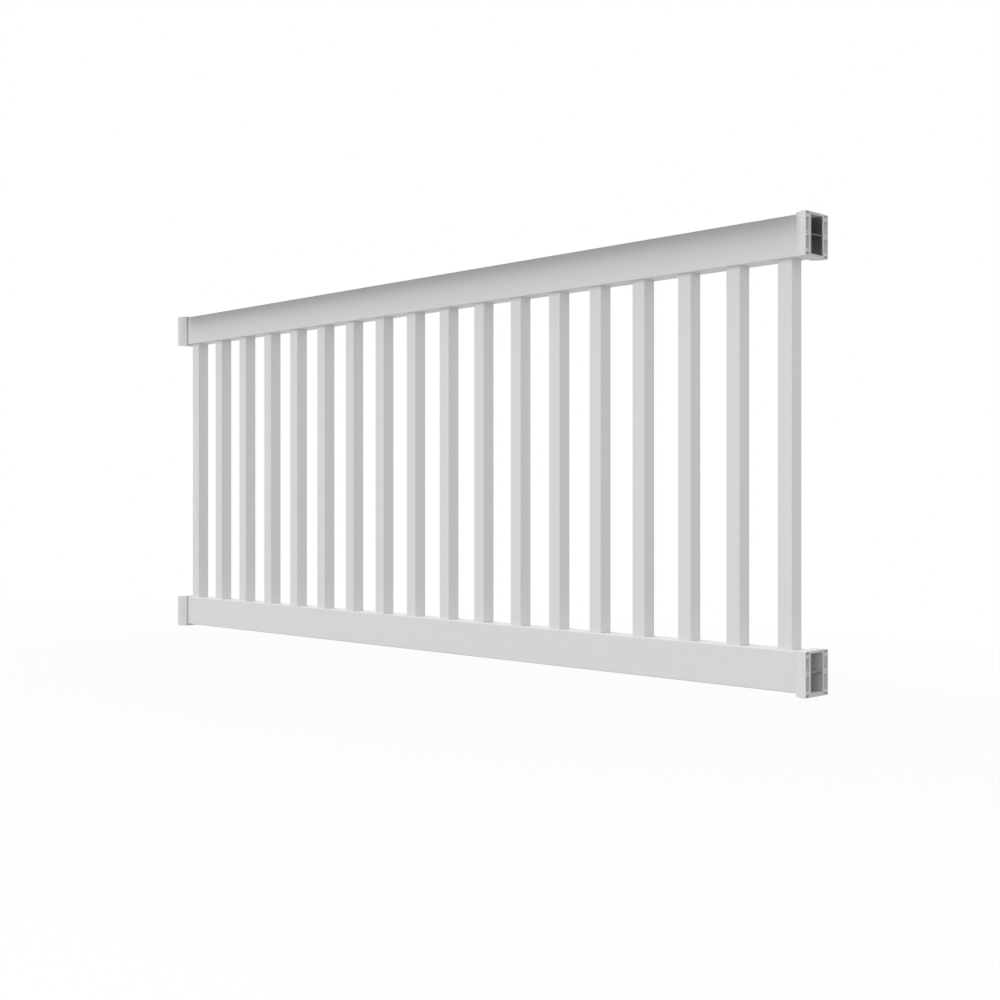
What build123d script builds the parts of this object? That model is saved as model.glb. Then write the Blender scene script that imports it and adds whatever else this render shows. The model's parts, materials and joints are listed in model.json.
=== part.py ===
"""Vinyl deck railing panel: two hollow rails, square balusters, stiffeners and four post brackets.

Millimetres, +Z up. X runs along the panel from the left post face to the right one, Y runs
through it with the front at -Y. The origin is on the post face of the lower left bracket, in
the middle of the panel's thickness, at the bracket's lower edge.
"""
from build123d import *
import math
import os

# Panel
PANEL_LENGTH = 2387.6        # from post face to post face
RAILS_HEIGHT = 1003.3        # from the underside of the bottom rail to the top of the top rail
BALUSTER_COUNT = 18

# Baluster, a square tube
BALUSTER_WIDTH = 36.5
BALUSTER_WALL = 1.8
BALUSTER_CORNER = 2.0        # outer corner radius
BALUSTER_TOP_GAP = 2.0       # room left under the top stiffener's web
BALUSTER_HOLE_GAP = 0.4      # all round, in the routed hole of each rail

# Rail, a hollow section around an H-shaped stiffener
RAIL_HEIGHT = 88.9
RAIL_WALL = 3.0
RAIL_CORNER = 2.5            # outer corner radius
RAIL_END_GAP = 0.2           # from the post face to the end of the rail
STIFFENER_WALL = 2.0         # the two flanges that line the rail's side walls
STIFFENER_WEB = 2.5          # the level web that the balusters stand on
STIFFENER_GAP = 0.3          # between the stiffener and the inside of the rail
STIFFENER_INSET = 0.2        # from the end of the rail to the end of the stiffener
FLANGE_TO_BALUSTER = 1.85

# Bracket, a moulded sleeve around the end of the rail, with an ear on each side
SLEEVE_GAP = 0.6             # between the rail and the sleeve, all round
SLEEVE_ROOF = 1.2            # wall above the rail
LOWER_FLOOR = 5.0            # wall below the bottom rail, on which it rests
UPPER_FLOOR = 1.6            # wall below the top rail
SLEEVE_SIDE = 3.0            # wall beside the rail
EAR_POCKET = 11.5            # width of the cored pockets in each ear
EAR_SKIN = 2.5               # outer wall of each ear
EAR_BAND = 12.8              # flat band beside the post, before the slope
SLOPE_LENGTH = 19.6          # along the panel, from the band to the bracket's inner end
NOSE_WIDTH = 4.0             # what is left of the ear at that end
NOSE_RADIUS = 3.0            # where the slope turns into the inner end
RIM_BREAK = 0.6              # bevel on the moulded edges above and below
POCKET_DEPTH = 24.0          # of the cored pockets, from the post face
CORNER_CELL = 4.5            # height of the small pocket at each end of an ear
CELL_RIB = 7.0               # rib between the small pocket and the long one
CELL_ROOF = 2.0              # wall between the small pocket and the outside
SCREW_HOLE = 5.0             # diameter
SCREW_HEAD = 8.0             # diameter of the seat for the screw's head
SCREW_BOSS_WALL = 1.0        # above and below that seat
SCREW_SEAT_DEPTH = 3.0       # below the lowest edge of the seat's mouth

# Room between the bracket's inner edge and the first baluster
BRACKET_TO_BALUSTER = 16.05

# Section of the rail
STIFFENER_WIDTH = BALUSTER_WIDTH + 2 * (FLANGE_TO_BALUSTER + STIFFENER_WALL)
RAIL_WIDTH = STIFFENER_WIDTH + 2 * (STIFFENER_GAP + RAIL_WALL)
STIFFENER_HEIGHT = RAIL_HEIGHT - 2 * (RAIL_WALL + STIFFENER_GAP)

# Plan of the bracket, from the post face at x = 0 towards the middle of the panel
SLEEVE_HALF = RAIL_WIDTH / 2 + SLEEVE_GAP
POCKET_INNER = SLEEVE_HALF + SLEEVE_SIDE
POCKET_OUTER = POCKET_INNER + EAR_POCKET
BRACKET_HALF = POCKET_OUTER + EAR_SKIN
NOSE_HALF = SLEEVE_HALF + NOSE_WIDTH
BRACKET_LENGTH = EAR_BAND + SLOPE_LENGTH
SLOPE_ANGLE = math.atan2(BRACKET_HALF - NOSE_HALF, SLOPE_LENGTH)
SCREW_PLACE = (POCKET_INNER + POCKET_OUTER) / 2

# Heights
SLEEVE_RISE = RAIL_HEIGHT / 2 + SLEEVE_GAP       # inside of the sleeve, from the middle of the rail
BOTTOM_RAIL_MIDDLE = SLEEVE_RISE + LOWER_FLOOR
TOP_RAIL_MIDDLE = BOTTOM_RAIL_MIDDLE + RAILS_HEIGHT - RAIL_HEIGHT
BALUSTER_FOOT = BOTTOM_RAIL_MIDDLE + STIFFENER_WEB / 2
BALUSTER_HEAD = TOP_RAIL_MIDDLE - STIFFENER_WEB / 2 - BALUSTER_TOP_GAP

# Places along the panel
RAIL_LENGTH = PANEL_LENGTH - 2 * RAIL_END_GAP
FIRST_BALUSTER = BRACKET_LENGTH + BRACKET_TO_BALUSTER + BALUSTER_WIDTH / 2
BALUSTER_PITCH = (PANEL_LENGTH - 2 * FIRST_BALUSTER) / (BALUSTER_COUNT - 1)
BALUSTER_PLACES = [FIRST_BALUSTER + i * BALUSTER_PITCH for i in range(BALUSTER_COUNT)]


def slope_place(across, depth=0.0):
    """Distance from the post face to a plane this deep below the slope, at one place across."""
    rise = (BRACKET_HALF - across) * math.cos(SLOPE_ANGLE)
    return EAR_BAND + (rise - depth) / math.sin(SLOPE_ANGLE)


def slope_across(along, depth):
    """Place across the panel of a plane this deep below the slope, at one distance from the post."""
    fall = (along - EAR_BAND) * math.sin(SLOPE_ANGLE)
    return BRACKET_HALF - (fall + depth) / math.cos(SLOPE_ANGLE)


def along_panel(section, length, start, height):
    """A section drawn across the panel, drawn out along it and put at its height."""
    return Pos(start, 0, height) * extrude(Plane.YZ * section, length)


def rail(height, facing):
    """A hollow rail with a square hole for each baluster in the wall that faces the other rail."""
    section = RectangleRounded(RAIL_WIDTH, RAIL_HEIGHT, RAIL_CORNER)
    section -= Rectangle(RAIL_WIDTH - 2 * RAIL_WALL, RAIL_HEIGHT - 2 * RAIL_WALL)
    tube = along_panel(section, RAIL_LENGTH, RAIL_END_GAP, height)
    hole_width = BALUSTER_WIDTH + 2 * BALUSTER_HOLE_GAP
    hole = Rectangle(hole_width, hole_width)
    holes = Sketch() + [Pos(place, 0) * hole for place in BALUSTER_PLACES]
    wall_inside = height + facing * (RAIL_HEIGHT / 2 - RAIL_WALL)
    return tube - extrude(Pos(0, 0, wall_inside) * holes, facing * RAIL_WALL)


def stiffener(height):
    """An H-shaped bar inside a rail: two flanges on the side walls and a level web."""
    flange_place = (STIFFENER_WIDTH - STIFFENER_WALL) / 2
    flange = Rectangle(STIFFENER_WALL, STIFFENER_HEIGHT)
    section = Rectangle(STIFFENER_WIDTH, STIFFENER_WEB)
    section += [Pos(flange_place, 0) * flange, Pos(-flange_place, 0) * flange]
    length = RAIL_LENGTH - 2 * STIFFENER_INSET
    return along_panel(section, length, RAIL_END_GAP + STIFFENER_INSET, height)


def baluster(place):
    """A square tube that stands on the bottom stiffener and ends just under the top one."""
    section = RectangleRounded(BALUSTER_WIDTH, BALUSTER_WIDTH, BALUSTER_CORNER)
    bore = BALUSTER_WIDTH - 2 * BALUSTER_WALL
    section -= Rectangle(bore, bore)
    return Pos(place, 0, BALUSTER_FOOT) * extrude(section, BALUSTER_HEAD - BALUSTER_FOOT)


def bracket_plan():
    """Outline of the bracket seen from above: a flat band, then a slope down to the rail."""
    ear = [(0, BRACKET_HALF), (EAR_BAND, BRACKET_HALF), (BRACKET_LENGTH, NOSE_HALF)]
    far_ear = [(along, -across) for along, across in reversed(ear)]
    plan = make_face(Polyline(*ear, *far_ear, close=True))
    return fillet(plan.vertices().group_by(Axis.X)[-1], NOSE_RADIUS)


def pocket_plan():
    """Outline of one ear's cored pocket, one wall inside the outline of the ear."""
    corners = [
        (0, POCKET_INNER),
        (0, POCKET_OUTER),
        (slope_place(POCKET_OUTER, EAR_SKIN), POCKET_OUTER),
        (POCKET_DEPTH, slope_across(POCKET_DEPTH, EAR_SKIN)),
        (POCKET_DEPTH, POCKET_INNER),
    ]
    return make_face(Polyline(*corners, close=True))


def bracket(floor):
    """A left-hand bracket around the middle of its rail, with the post face at x = 0."""
    top = SLEEVE_RISE + SLEEVE_ROOF
    foot = SLEEVE_RISE + floor
    body = Pos(0, 0, -foot) * extrude(bracket_plan(), foot + top)
    levels = body.edges().group_by(Axis.Z)
    rims = levels[0].sort_by(Axis.X)[1:] + levels[-1].sort_by(Axis.X)[1:]
    body = chamfer(rims, RIM_BREAK)
    sleeve = RectangleRounded(2 * SLEEVE_HALF, 2 * SLEEVE_RISE, RAIL_CORNER + SLEEVE_GAP)
    body -= along_panel(sleeve, BRACKET_LENGTH, 0, 0)

    # Pockets open towards the post: a long and a small one above and below the screw boss
    boss_edge = SCREW_HEAD / 2 + SCREW_BOSS_WALL
    for side, outside in ((1, top), (-1, foot)):
        cell_far = outside - CELL_ROOF
        cell_near = cell_far - CORNER_CELL
        for near, far in ((boss_edge, cell_near - CELL_RIB), (cell_near, cell_far)):
            pocket = Pos(0, 0, side * near) * extrude(pocket_plan(), side * (far - near))
            body -= [pocket, mirror(pocket, Plane.XZ)]

    # Screw holes through the bosses, with a flat seat for the head below the slope
    seat = slope_place(SCREW_PLACE + SCREW_HEAD / 2) - SCREW_SEAT_DEPTH
    for side in (-SCREW_PLACE, SCREW_PLACE):
        shank = along_panel(Pos(side, 0) * Circle(SCREW_HOLE / 2), BRACKET_LENGTH, 0, 0)
        head = along_panel(Pos(side, 0) * Circle(SCREW_HEAD / 2), BRACKET_LENGTH - seat, seat, 0)
        body -= [shank, head]
    return body


def model():
    """Every piece of the panel, by the name of its node."""
    pieces = {
        "bottom_rail": rail(BOTTOM_RAIL_MIDDLE, 1),
        "top_rail": rail(TOP_RAIL_MIDDLE, -1),
        "bottom_stiffener": stiffener(BOTTOM_RAIL_MIDDLE),
        "top_stiffener": stiffener(TOP_RAIL_MIDDLE),
    }
    for number, place in enumerate(BALUSTER_PLACES, start=1):
        pieces[f"baluster_{number:02d}"] = baluster(place)
    levels = (("lower", BOTTOM_RAIL_MIDDLE, LOWER_FLOOR), ("upper", TOP_RAIL_MIDDLE, UPPER_FLOOR))
    for level, height, floor in levels:
        left = bracket(floor)
        right = Pos(PANEL_LENGTH, 0, 0) * mirror(left, Plane.YZ)
        pieces[f"{level}_left_bracket"] = Pos(0, 0, height) * left
        pieces[f"{level}_right_bracket"] = Pos(0, 0, height) * right
    return pieces


os.makedirs("parts", exist_ok=True)
for name, piece in model().items():
    export_step(piece, f"parts/{name}.step")
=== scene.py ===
# %% [markdown]
# # A white vinyl deck railing
#
# The panel is what a deck builder takes out of the box: two hollow rails, a row of square
# balusters that stand in routed holes, and a moulded bracket on each rail end. The construction
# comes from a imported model, which this lesson loads as a fixed frame. Everything below is about
# how the panel looks: its light, its finishes and the small pieces that only show up close.

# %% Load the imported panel
import json
import math

import bmesh
import bpy
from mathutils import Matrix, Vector
from mathutils.bvhtree import BVHTree


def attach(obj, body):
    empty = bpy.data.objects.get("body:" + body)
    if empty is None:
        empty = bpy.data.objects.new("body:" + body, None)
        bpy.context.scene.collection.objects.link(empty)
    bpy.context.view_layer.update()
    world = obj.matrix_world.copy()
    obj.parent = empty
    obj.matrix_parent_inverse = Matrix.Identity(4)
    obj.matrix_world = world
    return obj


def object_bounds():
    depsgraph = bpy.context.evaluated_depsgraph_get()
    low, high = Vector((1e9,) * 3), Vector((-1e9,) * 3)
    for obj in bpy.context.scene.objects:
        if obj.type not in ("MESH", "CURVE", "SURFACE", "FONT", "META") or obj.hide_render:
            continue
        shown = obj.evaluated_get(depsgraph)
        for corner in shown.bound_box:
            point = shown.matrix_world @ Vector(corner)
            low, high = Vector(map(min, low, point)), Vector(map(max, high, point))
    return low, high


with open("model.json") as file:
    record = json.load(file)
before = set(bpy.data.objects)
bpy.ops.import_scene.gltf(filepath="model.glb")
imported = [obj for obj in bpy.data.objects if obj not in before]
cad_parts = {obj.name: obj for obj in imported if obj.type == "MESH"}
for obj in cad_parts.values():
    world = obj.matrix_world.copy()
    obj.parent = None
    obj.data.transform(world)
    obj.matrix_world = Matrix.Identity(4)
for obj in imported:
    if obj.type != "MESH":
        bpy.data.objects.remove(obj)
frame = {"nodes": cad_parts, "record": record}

scene = bpy.context.scene
nodes = frame["nodes"]
cad_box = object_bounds()
low, high = cad_box
middle = (low + high) / 2
print("panel", [round(size, 4) for size in high - low], "with", len(nodes), "nodes")

# %% [markdown]
# ## The camera
#
# The picture is a level view: upright edges stay parallel, and the horizon runs through the
# middle of the frame. The two rails meet at a vanishing point one focal length to the left of
# the middle, so the camera looks at the panel at 45 degrees through a normal 50 mm lens. It
# stands to the right of the panel, a little below half of its height.

# %% Place the camera
LENS_MM = 50.0
CAMERA_TURN = math.radians(45)
CAMERA_PLACE = Vector((3.9706, -2.5188, 0.4107))

camera_data = bpy.data.cameras.new("camera")
camera_data.lens = LENS_MM
camera = bpy.data.objects.new("camera", camera_data)
camera.location = CAMERA_PLACE
camera.rotation_euler = (math.radians(90), 0, CAMERA_TURN)
scene.collection.objects.link(camera)
scene.camera = camera
print("camera", [round(place, 3) for place in CAMERA_PLACE])

# %% [markdown]
# ## Small helpers for node trees
#
# Every finish below is a tree of shader nodes. A few short helpers keep the trees readable: one
# adds a node and sets its plain values, one wires a list of sockets, and one tells rays that
# come straight from the eye from rays that only carry light.

# %% Helpers for node trees
def add_node(tree, kind, inputs=None, **settings):
    """A node of this kind, with plain values on its settings and its input sockets."""
    node = tree.nodes.new(kind)
    for name, value in settings.items():
        setattr(node, name, value)
    for name, value in (inputs or {}).items():
        node.inputs[name].default_value = value
    return node


def wire(tree, *pairs):
    """Link each (output, input) pair of sockets."""
    for source, target in pairs:
        tree.links.new(source, target)


def seen_directly(tree):
    """A value of 1 for rays from the camera, in reflections and through glass, and 0 for light."""
    path = add_node(tree, "ShaderNodeLightPath")
    first = add_node(tree, "ShaderNodeMath", operation="MAXIMUM")
    both = add_node(tree, "ShaderNodeMath", operation="MAXIMUM")
    wire(
        tree,
        (path.outputs["Is Camera Ray"], first.inputs[0]),
        (path.outputs["Is Glossy Ray"], first.inputs[1]),
        (first.outputs[0], both.inputs[0]),
        (path.outputs["Is Transmission Ray"], both.inputs[1]),
    )
    return both.outputs[0]

# %% [markdown]
# ## The studio
#
# The panel is pictured on plain white. The sky that lights it is an even soft grey, as inside a
# tent of white cloth, and only what the camera sees directly is white. The floor lies as far
# below the brackets as a deck would. It is matt and a pale grey for the light, so it bounces a
# little of it up and keeps the shadow. For the eye it is near white and fades into the page
# around the panel, so that no horizon line shows.

# %% Light the world and lay the floor
SKY_STRENGTH = 0.71
DECK_GAP = 0.075
FLOOR_REACH = 40.0
FLOOR_COLOUR = (0.55, 0.55, 0.55, 1)
SHADOW_SHARE = 0.05
SHADOW_NEAR = 0.5
SHADOW_FAR = 2.2
SHADOW_SQUEEZE = (0.5, 1, 0)
WHITE = (1, 1, 1, 1)

world = bpy.data.worlds.new("studio")
scene.world = world
world.use_nodes = True
tree = world.node_tree
tree.nodes.clear()
sky = add_node(tree, "ShaderNodeBackground", {"Color": WHITE, "Strength": SKY_STRENGTH})
page = add_node(tree, "ShaderNodeBackground", {"Color": WHITE, "Strength": 1.0})
either = add_node(tree, "ShaderNodeMixShader")
world_out = add_node(tree, "ShaderNodeOutputWorld")
wire(
    tree,
    (seen_directly(tree), either.inputs["Fac"]),
    (sky.outputs[0], either.inputs[1]),
    (page.outputs[0], either.inputs[2]),
    (either.outputs[0], world_out.inputs["Surface"]),
)


def floor_material():
    """Matt and pale for the light, near white for the eye, with the shadow kept close by."""
    material = bpy.data.materials.new("studio_floor")
    material.use_nodes = True
    tree = material.node_tree
    tree.nodes.clear()
    matt = add_node(tree, "ShaderNodeBsdfDiffuse", {"Color": FLOOR_COLOUR})
    page = add_node(tree, "ShaderNodeEmission", {"Color": WHITE, "Strength": 1.0})
    either = add_node(tree, "ShaderNodeMixShader")
    out = add_node(tree, "ShaderNodeOutputMaterial")
    place = add_node(tree, "ShaderNodeNewGeometry")
    along = add_node(tree, "ShaderNodeVectorMath", operation="SUBTRACT")
    along.inputs[1].default_value = (middle.x, middle.y, -DECK_GAP)
    squeeze = add_node(tree, "ShaderNodeVectorMath", operation="MULTIPLY")
    squeeze.inputs[1].default_value = SHADOW_SQUEEZE
    distance = add_node(tree, "ShaderNodeVectorMath", operation="LENGTH")
    fade = add_node(
        tree, "ShaderNodeMapRange", interpolation_type="SMOOTHSTEP",
        inputs={"From Min": SHADOW_NEAR, "From Max": SHADOW_FAR,
                "To Min": 1 - SHADOW_SHARE, "To Max": 1.0},
    )
    share = add_node(tree, "ShaderNodeMath", operation="MULTIPLY")
    wire(
        tree,
        (place.outputs["Position"], along.inputs[0]),
        (along.outputs[0], squeeze.inputs[0]),
        (squeeze.outputs[0], distance.inputs[0]),
        (distance.outputs["Value"], fade.inputs["Value"]),
        (fade.outputs["Result"], share.inputs[0]),
        (seen_directly(tree), share.inputs[1]),
        (share.outputs[0], either.inputs["Fac"]),
        (matt.outputs[0], either.inputs[1]),
        (page.outputs[0], either.inputs[2]),
        (either.outputs[0], out.inputs["Surface"]),
    )
    return material


floor_mesh = bpy.data.meshes.new("studio_floor")
floor_mesh.from_pydata(
    [(middle.x + x * FLOOR_REACH, middle.y + y * FLOOR_REACH, -DECK_GAP)
     for x, y in ((-1, -1), (1, -1), (1, 1), (-1, 1))],
    [], [(0, 1, 2, 3)],
)
floor = bpy.data.objects.new("studio_floor", floor_mesh)
floor.data.materials.append(floor_material())
scene.collection.objects.link(floor)
print("floor", DECK_GAP, "m below the brackets")

# %% [markdown]
# ## The light
#
# White plastic on a white page only reads if its planes differ. One high, wide key light comes
# over the viewer's left shoulder: the tops are brightest, the faces a step darker, and the
# right-hand sides of the balusters darker again. A soft box near the panel would fade along its
# length, so the key is a sun lamp, which is even everywhere, with an angle wide enough to give
# the soft edges of a large diffuser.

# %% Hang the key light
KEY_DIRECTION = Vector((-0.28, -0.56, 0.78)).normalized()
KEY_STRENGTH = 1.0
KEY_SPREAD = math.radians(55)

key_data = bpy.data.lights.new("key", "SUN")
key_data.energy = KEY_STRENGTH
key_data.angle = KEY_SPREAD
key = bpy.data.objects.new("key", key_data)
key.location = middle + KEY_DIRECTION * (high - low).length
key.rotation_euler = KEY_DIRECTION.to_track_quat("Z", "Y").to_euler()
scene.collection.objects.link(key)
print("key light from", [round(share, 2) for share in KEY_DIRECTION])

# %% [markdown]
# ## A flag over the top rail
#
# In the picture the upper half of the top rail lies in a soft shade, as if a narrow board hung
# along it out of sight. Photographers call such a board a flag. It belongs to the stage, and only
# the light sees it: it takes the key and part of the sky from the rail's upper half, and the
# wide key gives the shade its long soft edge.

# %% Hang the flag
FLAG_REACH = 0.050
FLAG_LIFT = 0.010
FLAG_ENDS = 0.034
FLAG_COLOUR = (0.05, 0.05, 0.05, 1)

flag_material = bpy.data.materials.new("flag")
flag_material.use_nodes = True
flag_material.node_tree.nodes["Principled BSDF"].inputs["Base Color"].default_value = FLAG_COLOUR
rail_corners = [Vector(corner) for corner in nodes["top_rail"].bound_box]
rail_front = min(corner.y for corner in rail_corners)
rail_top = max(corner.z for corner in rail_corners)
left, right = low.x + FLAG_ENDS, high.x - FLAG_ENDS
near, far = rail_front - FLAG_REACH, rail_front
flag_mesh = bpy.data.meshes.new("flag")
flag_mesh.from_pydata(
    [(x, y, rail_top + FLAG_LIFT)
     for x, y in ((left, near), (right, near), (right, far), (left, far))],
    [], [(0, 1, 2, 3)],
)
flag_mesh.materials.append(flag_material)
flag = bpy.data.objects.new("flag", flag_mesh)
flag.visible_camera = False
flag.visible_glossy = False
flag.visible_transmission = False
scene.collection.objects.link(flag)
print("flag", FLAG_REACH, "m in front of the rail")

# %% [markdown]
# ## Effects that several finishes share
#
# Each effect is a shader node group. It takes a place on the surface and a few plain values, and
# gives back a height, a shade or a mask, so that one group serves rails, balusters and inserts
# with different values.

# %% Helpers for groups and materials
# A mix node repeats its socket names for each kind of data, so those for colours go by number
MIX_SHARE, MIX_COLOUR, MIX_SHADE, MIX_RESULT = 0, 6, 7, 2


def new_group(name, inputs, outputs):
    """An empty group with these sockets, and the sockets as they look from inside it."""
    tree = bpy.data.node_groups.new(name, "ShaderNodeTree")
    for side, sockets in (("INPUT", inputs), ("OUTPUT", outputs)):
        for label, kind in sockets.items():
            tree.interface.new_socket(label, in_out=side, socket_type="NodeSocket" + kind)
    given = add_node(tree, "NodeGroupInput").outputs
    result = add_node(tree, "NodeGroupOutput").inputs
    return tree, given, result


def use_group(tree, group, place, **values):
    """A group placed in a material, looking at this place on the surface."""
    node = add_node(tree, "ShaderNodeGroup", node_tree=group)
    wire(tree, (place, node.inputs["Place"]))
    for label, value in values.items():
        node.inputs[label].default_value = value
    return node.outputs


def new_material(name):
    """A material with its tree, its shader, and the place on the surface in metres."""
    material = bpy.data.materials.new(name)
    material.use_nodes = True
    tree = material.node_tree
    place = add_node(tree, "ShaderNodeTexCoord").outputs["Object"]
    return material, tree, tree.nodes["Principled BSDF"], place


def tone(tree, value, dark, light):
    """A colour between two, chosen by a value that changes over the surface."""
    ramp = add_node(tree, "ShaderNodeValToRGB")
    ramp.color_ramp.elements[0].color = (*dark, 1)
    ramp.color_ramp.elements[1].color = (*light, 1)
    wire(tree, (value, ramp.inputs["Fac"]))
    return ramp.outputs["Color"]


def spread(tree, value, lowest, highest):
    """A value from 0 to 1, spread between two numbers."""
    node = add_node(tree, "ShaderNodeMapRange", {"To Min": lowest, "To Max": highest})
    wire(tree, (value, node.inputs["Value"]))
    return node.outputs["Result"]


def painted_shade(tree, colour, mask, share):
    """A colour with painted shade: only this share of it is left where the mask is 1."""
    node = add_node(tree, "ShaderNodeMix", data_type="RGBA", blend_type="MULTIPLY")
    node.inputs[MIX_SHADE].default_value = (share, share, share, 1)
    wire(tree, (mask, node.inputs[MIX_SHARE]), (colour, node.inputs[MIX_COLOUR]))
    return node.outputs[MIX_RESULT]


def relief(tree, height, depth, under=None):
    """The normal of a surface with this relief, laid over another relief if one is given."""
    bump = add_node(tree, "ShaderNodeBump", {"Strength": 1.0, "Distance": depth})
    wire(tree, (height, bump.inputs["Height"]))
    if under is not None:
        wire(tree, (under, bump.inputs["Normal"]))
    return bump.outputs["Normal"]

# %% [markdown]
# ### Drawn streaks
#
# Vinyl and aluminium profiles are pushed through a steel die, and every nick in the die draws a
# faint line down the whole length. A noise texture that changes fast across the profile and
# hardly at all along it gives the same lines. With wider steps, the same group also gives the
# slow wave of a thin wall that cooled unevenly.

# %% Group of drawn streaks
def drawn_streaks():
    """Noise that changes as many times in a metre as Steps says, along each axis."""
    tree, given, result = new_group(
        "drawn_streaks", {"Place": "Vector", "Steps": "Vector"}, {"Height": "Float"}
    )
    pull = add_node(tree, "ShaderNodeVectorMath", operation="MULTIPLY")
    noise = add_node(tree, "ShaderNodeTexNoise", {"Scale": 1.0, "Detail": 3.0, "Roughness": 0.6})
    wire(
        tree,
        (given["Place"], pull.inputs[0]),
        (given["Steps"], pull.inputs[1]),
        (pull.outputs[0], noise.inputs["Vector"]),
        (noise.outputs["Fac"], result["Height"]),
    )
    return tree


streaks = drawn_streaks()
print("group", streaks.name)

# %% [markdown]
# ### Rubs from packing
#
# A panel comes in a carton and is handled before it is screwed on. That leaves no marks in the
# colour, only patches where the sheen is a little duller, so the mask feeds the roughness.

# %% Group of packing rubs
RUB_STARTS = 0.45
RUB_FULL = 0.7


def packing_rubs():
    """A mask of soft patches, about Patches of them in a metre."""
    tree, given, result = new_group(
        "packing_rubs", {"Place": "Vector", "Patches": "Float"}, {"Mask": "Float"}
    )
    noise = add_node(tree, "ShaderNodeTexNoise", {"Detail": 4.0, "Roughness": 0.7})
    patch = add_node(
        tree, "ShaderNodeMapRange", {"From Min": RUB_STARTS, "From Max": RUB_FULL},
        interpolation_type="SMOOTHSTEP",
    )
    wire(
        tree,
        (given["Place"], noise.inputs["Vector"]),
        (given["Patches"], noise.inputs["Scale"]),
        (noise.outputs["Fac"], patch.inputs["Value"]),
        (patch.outputs["Result"], result["Mask"]),
    )
    return tree


rubs = packing_rubs()
print("group", rubs.name)

# %% [markdown]
# ### End faces
#
# Rails and stiffeners are cut to length with a chop saw, and the cut shows inside the open
# brackets: a matt, duller face with fine arcs. The group finds the faces that look along a piece
# and draws rings about the middle of a saw blade that would stand below and in front of the
# rail. On a baluster the piece runs upwards, so its sides are not taken for cuts.

# %% Group of end faces
SAW_CENTRE = (0.0, -0.10, -0.16)
SAW_PITCH = 0.0011
SAW_WANDER = 0.6
RING_STEP = 20.0
NEARLY_END = 0.8
FULLY_END = 0.98


def end_faces():
    """A mask of the faces that look along a piece, and the arcs that a saw leaves on them."""
    tree, given, result = new_group(
        "end_faces", {"Place": "Vector", "Along": "Vector"}, {"Mask": "Float", "Arcs": "Float"}
    )
    surface = add_node(tree, "ShaderNodeNewGeometry")
    facing = add_node(tree, "ShaderNodeVectorMath", operation="DOT_PRODUCT")
    size = add_node(tree, "ShaderNodeMath", operation="ABSOLUTE")
    square = add_node(
        tree, "ShaderNodeMapRange", {"From Min": NEARLY_END, "From Max": FULLY_END},
        interpolation_type="SMOOTHSTEP",
    )
    aim = add_node(tree, "ShaderNodeVectorMath", operation="SUBTRACT")
    aim.inputs[1].default_value = SAW_CENTRE
    rings = add_node(
        tree, "ShaderNodeTexWave",
        {"Scale": 2 * math.pi / (RING_STEP * SAW_PITCH), "Distortion": SAW_WANDER},
        wave_type="RINGS", rings_direction="X",
    )
    cut = add_node(tree, "ShaderNodeMath", operation="MULTIPLY")
    wire(
        tree,
        (surface.outputs["Normal"], facing.inputs[0]),
        (given["Along"], facing.inputs[1]),
        (facing.outputs["Value"], size.inputs[0]),
        (size.outputs[0], square.inputs["Value"]),
        (given["Place"], aim.inputs[0]),
        (aim.outputs[0], rings.inputs["Vector"]),
        (rings.outputs["Fac"], cut.inputs[0]),
        (square.outputs["Result"], cut.inputs[1]),
        (square.outputs["Result"], result["Mask"]),
        (cut.outputs[0], result["Arcs"]),
    )
    return tree


ends = end_faces()
print("group", ends.name)

# %% [markdown]
# ### Moulded grain
#
# Brackets and plugs come out of a mould whose steel was spark-eroded, which leaves a fine even
# grain of small round pits. A smooth Voronoi texture has the same look.

# %% Group of moulded grain
def moulded_grain():
    """A relief of small round pits, about Pits of them in a metre."""
    tree, given, result = new_group(
        "moulded_grain", {"Place": "Vector", "Pits": "Float"}, {"Height": "Float"}
    )
    cells = add_node(
        tree, "ShaderNodeTexVoronoi", {"Smoothness": 0.7, "Randomness": 1.0}, feature="SMOOTH_F1"
    )
    wire(
        tree,
        (given["Place"], cells.inputs["Vector"]),
        (given["Pits"], cells.inputs["Scale"]),
        (cells.outputs["Distance"], result["Height"]),
    )
    return tree


grain = moulded_grain()
print("group", grain.name)

# %% [markdown]
# ## Extruded profiles
#
# Rails, balusters and the stiffeners inside the rails are all extruded, so one function makes
# their finishes. The streaks run along X on the rails and stiffeners and along Z on the
# balusters. White vinyl is a clean, plain white with a satin sheen. The bottom insert is a greyer
# reground vinyl, and the top stiffener is aluminium straight from the mill. A sawn end scatters
# the light, so it is rougher. Its colour is also darker, as painted shade, and each finish says
# what share of its colour is left on its cuts.

# %% Finishes of the extruded profiles
ALONG_RAIL = 1.5
ACROSS_RAIL = 700.0
WAVE_ALONG = 2.5
WAVE_ACROSS = 22.0
STREAK_DEPTH = 0.00001
WAVE_DEPTH = 0.0002
SAW_DEPTH = 0.00005
CUT_DULLNESS = 0.25
RUBS_ON_PROFILE = 9.0


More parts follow.
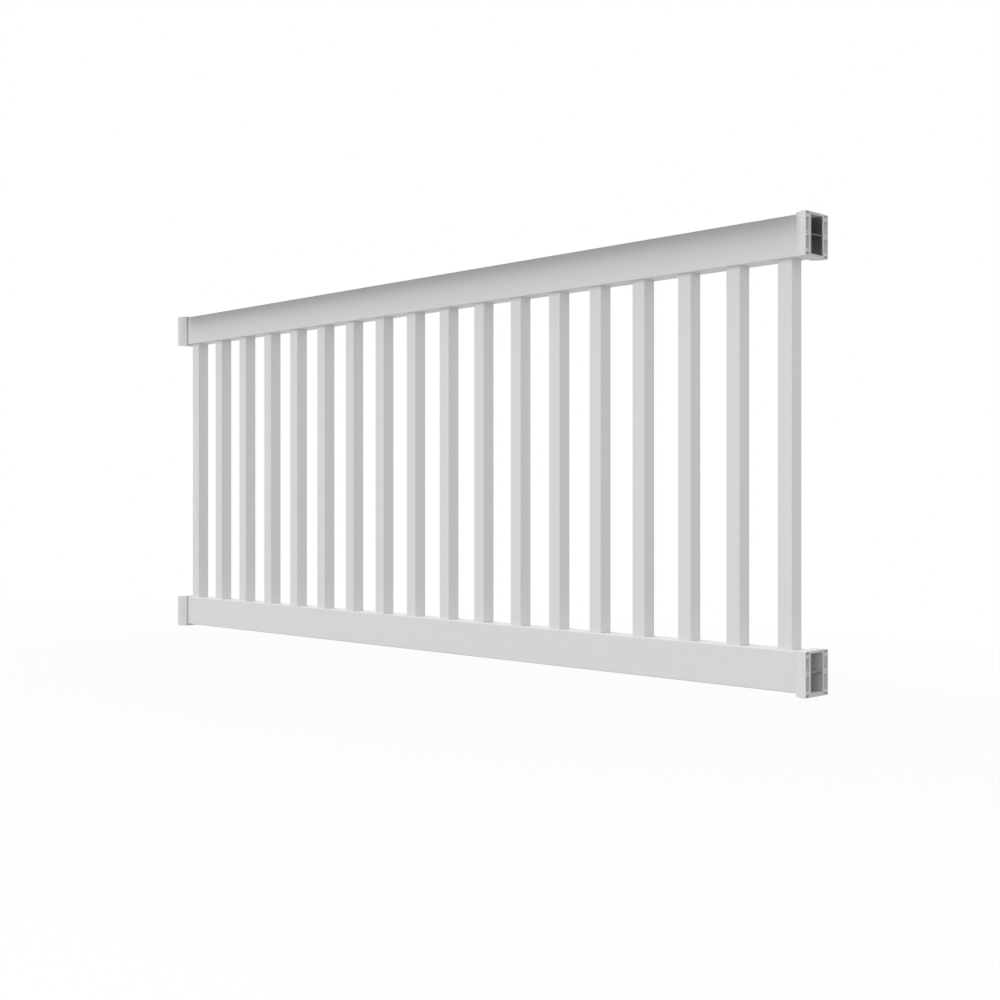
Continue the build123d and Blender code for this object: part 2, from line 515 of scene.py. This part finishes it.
def extruded(name, dark, light, gloss, dull, painted_cut_shade, upright=False, metallic=0.0):
    """A drawn profile: streaks and a slow wave along it, packing rubs, and saw-cut ends with
    painted shade.
    """
    material, tree, shader, place = new_material(name)
    along = Vector((1, 0, 0))
    fine = Vector((ALONG_RAIL, ACROSS_RAIL, ACROSS_RAIL))
    slow = Vector((WAVE_ALONG, WAVE_ACROSS, WAVE_ACROSS))
    if upright:
        along, fine, slow = along.zyx, fine.zyx, slow.zyx
    lines = use_group(tree, streaks, place, Steps=fine)
    wave = use_group(tree, streaks, place, Steps=slow)
    rub = use_group(tree, rubs, place, Patches=RUBS_ON_PROFILE)
    cut = use_group(tree, ends, place, Along=along)

    sheen = add_node(tree, "ShaderNodeMath", operation="MULTIPLY_ADD")
    sheen.inputs[1].default_value = CUT_DULLNESS
    # The cut faces get painted shade: only a share of their colour is left there.
    drawn = tone(tree, lines["Height"], dark, light)
    wire(
        tree,
        (cut["Mask"], sheen.inputs[0]),
        (spread(tree, rub["Mask"], gloss, dull), sheen.inputs[2]),
        (sheen.outputs[0], shader.inputs["Roughness"]),
        (painted_shade(tree, drawn, cut["Mask"], painted_cut_shade), shader.inputs["Base Color"]),
    )
    wavy = relief(tree, wave["Height"], WAVE_DEPTH)
    lined = relief(tree, lines["Height"], STREAK_DEPTH, wavy)
    sawn = relief(tree, cut["Arcs"], SAW_DEPTH, lined)
    wire(tree, (sawn, shader.inputs["Normal"]))
    shader.inputs["Metallic"].default_value = metallic
    return material


# The last number of each finish is the share of colour left on its cuts, as painted shade.
rail_vinyl = extruded("rail_vinyl", (0.80, 0.80, 0.80), (0.84, 0.84, 0.84), 0.40, 0.50, 0.85)
baluster_vinyl = extruded(
    "baluster_vinyl", (0.80, 0.80, 0.80), (0.84, 0.84, 0.84), 0.40, 0.50, 0.85, upright=True
)
insert_vinyl = extruded("insert_vinyl", (0.56, 0.56, 0.56), (0.66, 0.66, 0.66), 0.55, 0.65, 0.3)
mill_aluminium = extruded(
    "mill_aluminium", (0.46, 0.45, 0.44), (0.54, 0.53, 0.52), 0.40, 0.52, 0.4, metallic=1.0
)
profiles = (rail_vinyl, baluster_vinyl, insert_vinyl, mill_aluminium)
print("extruded finishes", [material.name for material in profiles])

# %% [markdown]
# ## Moulded pieces
#
# The brackets are moulded in a slightly cooler white. Their grain is too fine to see from a
# distance, but it breaks the reflections up, so they look a little more matt than the rails. The
# faces that look along the panel get painted shade: their colour is made a shade greyer, and
# nearly all of them are hidden once the bracket is screwed on.

# %% Finish of the moulded pieces
GRAIN_DEPTH = 0.00003
CLOUD_STEPS = (45.0, 45.0, 45.0)
RUBS_ON_MOULDING = 30.0
# Faces that look along this axis get painted shade: only this share of their colour is left.
ALONG_PANEL = (1, 0, 0)
PAINTED_END_SHADE = 0.8


def moulded(name, dark, light, gloss, dull, pits):
    """A moulded plastic: fine grain, faint cloudiness in the colour, packing rubs and painted
    shade.
    """
    material, tree, shader, place = new_material(name)
    pit = use_group(tree, grain, place, Pits=pits)
    cloud = use_group(tree, streaks, place, Steps=CLOUD_STEPS)
    rub = use_group(tree, rubs, place, Patches=RUBS_ON_MOULDING)
    end = use_group(tree, ends, place, Along=ALONG_PANEL)
    cloudy_tone = tone(tree, cloud["Height"], dark, light)
    # Painted shade: the faces that look along the panel come out greyer.
    wire(
        tree,
        (painted_shade(tree, cloudy_tone, end["Mask"], PAINTED_END_SHADE), shader.inputs["Base Color"]),
        (spread(tree, rub["Mask"], gloss, dull), shader.inputs["Roughness"]),
        (relief(tree, pit["Height"], GRAIN_DEPTH), shader.inputs["Normal"]),
    )
    return material


bracket_plastic = moulded(
    "bracket_plastic", (0.81, 0.82, 0.82), (0.85, 0.86, 0.86), 0.45, 0.56, 2200.0
)
plug_plastic = moulded("plug_plastic", (0.80, 0.81, 0.81), (0.84, 0.85, 0.85), 0.40, 0.50, 3000.0)
print("moulded finishes", bracket_plastic.name, plug_plastic.name)

# %% [markdown]
# ## Give each node its finish
#
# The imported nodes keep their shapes. Their names say what they are, so a short list of words
# decides which finish each one takes.

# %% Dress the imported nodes
FINISHES = {
    "rail": rail_vinyl,
    "baluster": baluster_vinyl,
    "bracket": bracket_plastic,
    "bottom_stiffener": insert_vinyl,
    "top_stiffener": mill_aluminium,
}
for name, piece in nodes.items():
    finish = next(material for word, material in FINISHES.items() if word in name)
    piece.data.materials.clear()
    piece.data.materials.append(finish)
print("dressed", len(nodes), "nodes")

# %% [markdown]
# ## Softer edges on the brackets
#
# No moulded edge is knife-sharp, and the thin bright line on a rounded edge is what makes a
# bracket look moulded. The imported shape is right, so modifiers do the work on top of it: Weld
# joins its facets, a small geometry node group asks for smooth shading, Decimate takes the flat
# facets together, and Bevel rounds the sharp edges that are left. It also hardens the shading, so
# that flat walls stay flat.

# %% Round the moulded edges
EDGE_WIDTH = 0.0005
EDGE_STEPS = 3
SAME_PLACE = 1e-6
FLAT_ANGLE = math.radians(0.5)
SHARP_ANGLE = math.radians(35)


def smooth_shading():
    """A geometry node group that drops stored normals and shades every face smooth."""
    tree = bpy.data.node_groups.new("smooth_shading", "GeometryNodeTree")
    for side in ("INPUT", "OUTPUT"):
        tree.interface.new_socket("Geometry", in_out=side, socket_type="NodeSocketGeometry")
    given = add_node(tree, "NodeGroupInput")
    result = add_node(tree, "NodeGroupOutput")
    shade = add_node(
        tree, "GeometryNodeSetMeshNormal",
        {"Remove Custom": True, "Edge Sharpness": False, "Face Sharpness": False},
        mode="SHARPNESS",
    )
    wire(tree, (given.outputs[0], shade.inputs["Mesh"]), (shade.outputs[0], result.inputs[0]))
    return tree


def add_modifier(piece, kind, **settings):
    """A modifier of this kind with plain values on its settings."""
    modifier = piece.modifiers.new(kind.lower(), kind)
    for name, value in settings.items():
        setattr(modifier, name, value)


smooth = smooth_shading()
brackets = [name for name in nodes if "bracket" in name]
for name in brackets:
    add_modifier(nodes[name], "WELD", merge_threshold=SAME_PLACE)
    add_modifier(nodes[name], "NODES", node_group=smooth)
    add_modifier(nodes[name], "DECIMATE", decimate_type="DISSOLVE", angle_limit=FLAT_ANGLE)
    add_modifier(
        nodes[name], "BEVEL", width=EDGE_WIDTH, segments=EDGE_STEPS, limit_method="ANGLE",
        angle_limit=SHARP_ANGLE, harden_normals=True,
    )
print("rounded the edges of", brackets)

# %% [markdown]
# ## Screw plugs
#
# Each bracket is held by a screw through either ear, and a small plug closes the hole above the
# screw's head. The record says where the screws are. The plug is made as rings of points about
# the screw's line, from the middle of its face out to the rim and down the skirt. Its face
# follows the slope of the ear, which is read from the bracket's own mesh by dropping each point
# on it, a little above the hole where the slope is whole.

# %% Make the screw plugs
PLUG_RADIUS = 0.0038
PLUG_CROWN = 0.00025
PLUG_RIM = 0.0005
PLUG_SKIRT = 0.0015
PLUG_SIDES = 40
FACE_RINGS = 8
RIM_RINGS = 4
CLEAR_OF_HOLE = 0.007
MM_IN_METRE = 1000


def plug_profile():
    """(radius, height over the slope) from the middle of the face to the end of the skirt."""
    flat = PLUG_RADIUS - PLUG_RIM
    profile = []
    for ring in range(1, FACE_RINGS + 1):
        radius = flat * ring / FACE_RINGS
        profile.append((radius, PLUG_CROWN * (1 - (radius / PLUG_RADIUS) ** 2)))
    edge = profile[-1][1]
    for ring in range(1, RIM_RINGS + 1):
        turn = math.pi / 2 * ring / RIM_RINGS
        profile.append((flat + PLUG_RIM * math.sin(turn), edge - PLUG_RIM * (1 - math.cos(turn))))
    profile.append((PLUG_RADIUS, -PLUG_SKIRT))
    return profile


def screw_plug(name, bracket, centre, outward):
    """A plug about one screw, with its face on the slope of this bracket."""
    mesh = nodes[bracket].data
    shape = BVHTree.FromPolygons(
        [vertex.co for vertex in mesh.vertices], [face.vertices for face in mesh.polygons]
    )

    def on_slope(radius, turn, height):
        y = centre.y + radius * math.cos(turn)
        z = centre.z + radius * math.sin(turn)
        start = Vector((centre.x + outward, y, centre.z + CLEAR_OF_HOLE))
        hit = shape.ray_cast(start, Vector((-outward, 0, 0)))[0]
        return Vector((hit.x + outward * height, y, z))

    plug = bmesh.new()
    turns = [2 * math.pi * side / PLUG_SIDES for side in range(PLUG_SIDES)]
    crown = plug.verts.new(on_slope(0, 0, PLUG_CROWN))
    rings = [
        [plug.verts.new(on_slope(radius, turn, height)) for turn in turns]
        for radius, height in plug_profile()
    ]
    for side in range(PLUG_SIDES):
        after = (side + 1) % PLUG_SIDES
        plug.faces.new((crown, rings[0][side], rings[0][after]))
        for inner, outer in zip(rings, rings[1:]):
            plug.faces.new((inner[side], outer[side], outer[after], inner[after]))
    plug.faces.new(rings[-1])
    bmesh.ops.recalc_face_normals(plug, faces=plug.faces)
    for face in plug.faces:
        face.smooth = len(face.verts) <= 4
    made = bpy.data.meshes.new(name)
    plug.to_mesh(made)
    plug.free()
    piece = bpy.data.objects.new(name, made)
    piece.data.materials.append(plug_plastic)
    scene.collection.objects.link(piece)
    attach(piece, "root")
    return piece


plugs = []
for mount in frame["record"]["mounts"]:
    if mount["kind"] != "bolt_pattern":
        continue
    bracket = mount["name"].replace("screws", "bracket")
    place, outward = Vector(mount["pos_m"]), -mount["axis"][0]
    half = mount["dims"]["spacing_x_mm"] / MM_IN_METRE / 2
    for side, offset in (("front", -half), ("rear", half)):
        name = bracket.replace("bracket", side + "_plug")
        plugs.append(screw_plug(name, bracket, place + Vector((0, offset, 0)), outward))
print("plugs", [plug.name for plug in plugs])

# %% [markdown]
# ## Close
#
# The picture uses the plain Standard view.

# %% Close
scene.view_settings.view_transform = "Standard"
